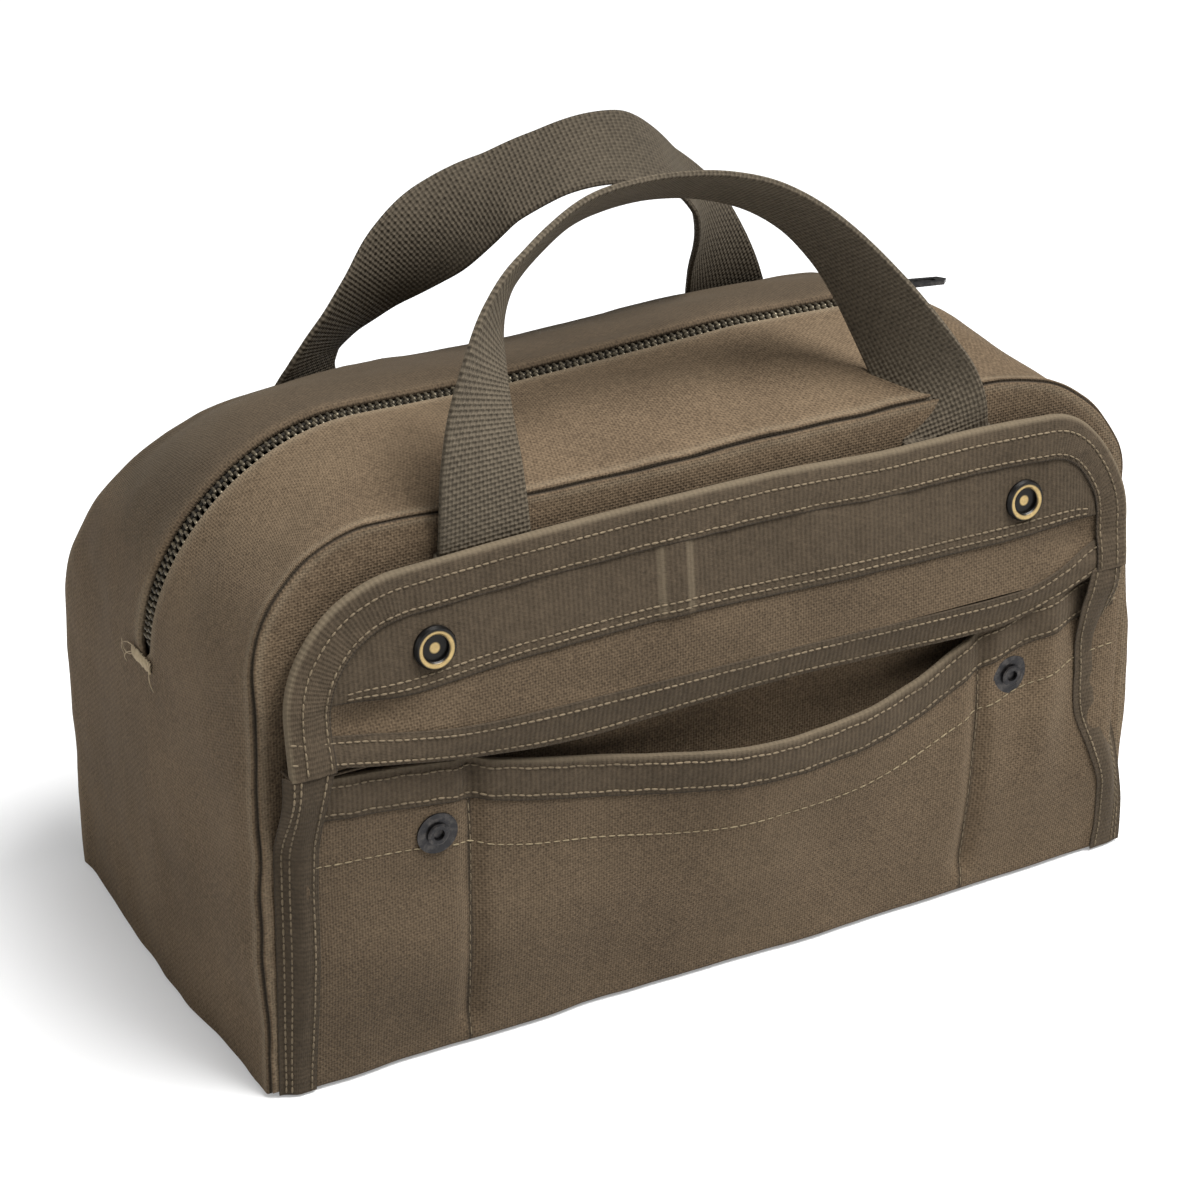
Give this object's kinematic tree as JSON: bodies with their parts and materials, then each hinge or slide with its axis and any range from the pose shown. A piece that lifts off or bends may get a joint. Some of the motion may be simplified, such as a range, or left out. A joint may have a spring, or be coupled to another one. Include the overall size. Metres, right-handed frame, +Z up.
{
  "type": "tool bag",
  "caption": "Canvas tool bag with a zip over its top, a snap-down flap pocket on each long side, sewn tool pockets inside and webbing handles.",
  "frame": {"origin": "centre of the flat bottom, on the surface the bag stands on", "axes": "+X along the bag to its right end, -Y to the front side whose flap is folded up, +Z up"},
  "size_m": [0.2972, 0.1689, 0.2412],
  "materials": {
    "canvas": "coarse plain-weave cotton canvas, olive brown, matt",
    "tape": "woven binding tape, darker olive, matt",
    "webbing": "ribbed cotton webbing, grey olive, matt",
    "thread": "pale sewing thread",
    "dark_metal": "blackened metal, satin",
    "zip_metal": "dull brass teeth"
  },
  "bodies": {
    "bag_base": {"bottom_panel": "canvas", "end_panel_left": "canvas", "end_panel_right": "canvas", "zip_end_patches": "tape", "zip_bar_tacks": "thread"},
    "front_side": {"panel_front": "canvas", "gusset_front": "canvas", "seam_binding_front": "tape", "zip_tape_front": "tape", "zip_teeth_front": "zip_metal", "zip_stop_front": "dark_metal", "pocket_front": "canvas", "pocket_binding_front": "tape", "side_bindings_front": "tape", "flap_hinge_tape_front": "tape", "handle_ends_front": "webbing", "snap_studs_front": "dark_metal", "snap_eyelets_front": "dark_metal", "tool_pockets_front": "canvas", "tool_binding_front": "tape"},
    "front_flap": {"flap_front": "canvas", "flap_binding_front": "tape", "flap_facing_front": "tape", "snap_caps_front": "dark_metal", "snap_sockets_front": "dark_metal"},
    "front_handle": {"handle_front": "webbing"},
    "back_side": {"panel_back": "canvas", "gusset_back": "canvas", "seam_binding_back": "tape", "zip_tape_back": "tape", "zip_teeth_back": "zip_metal", "zip_stop_back": "dark_metal", "pocket_back": "canvas", "pocket_binding_back": "tape", "side_bindings_back": "tape", "flap_hinge_tape_back": "tape", "handle_ends_back": "webbing", "snap_studs_back": "dark_metal", "snap_eyelets_back": "dark_metal", "tool_pockets_back": "canvas", "tool_binding_back": "tape"},
    "back_flap": {"flap_back": "canvas", "flap_binding_back": "tape", "flap_facing_back": "tape", "snap_caps_back": "dark_metal", "snap_sockets_back": "dark_metal"},
    "back_handle": {"handle_back": "webbing"},
    "slider": {"slider_body": "dark_metal"},
    "pull_tab": {"pull_tab": "dark_metal"}
  },
  "joints": [
    {"name": "front_open", "type": "hinge", "parent": "bag_base", "child": "front_side", "pos_m": [0, -0.08, 0], "axis": [1, 0, 0], "range_deg": [0, 16], "deforming": ["zip_tape_front", "zip_teeth_front"]},
    {"name": "back_open", "type": "hinge", "parent": "bag_base", "child": "back_side", "pos_m": [0, 0.08, 0], "axis": [-1, 0, 0], "range_deg": [0, 16], "deforming": ["zip_tape_back", "zip_teeth_back"]},
    {"name": "zip_travel", "type": "slide", "parent": "bag_base", "child": "slider", "axis": [-1, 0, 0], "range_m": [0, 0.168]},
    {"name": "tab_swing", "type": "hinge", "parent": "slider", "child": "pull_tab", "pos_m": [0.084, -0.012, 0.1773], "axis": [0, -1, 0], "range_deg": [0, 164]},
    {"name": "front_flap_turn", "type": "hinge", "parent": "front_side", "child": "front_flap", "pos_m": [0, -0.0823, 0.104], "axis": [1, 0, 0], "range_deg": [0, 186.5]},
    {"name": "back_flap_turn", "type": "hinge", "parent": "back_side", "child": "back_flap", "pos_m": [0, 0.0823, 0.104], "axis": [1, 0, 0], "range_deg": [0, 186.5]},
    {"name": "front_handle_turn", "type": "hinge", "parent": "front_side", "child": "front_handle", "pos_m": [0, -0.0748, 0.15515], "axis": [1, 0, 0], "range_deg": [0, 96]},
    {"name": "back_handle_turn", "type": "hinge", "parent": "back_side", "child": "back_handle", "pos_m": [0, 0.0524, 0.15071], "axis": [-1, 0, 0], "range_deg": [0, 85]}
  ],
  "couplings": [
    {"joint": "back_open", "follows": "front_open", "ratio": 1},
    {"joint": "zip_travel", "follows": "front_open", "m_per_rad": 0.6016}
  ]
}
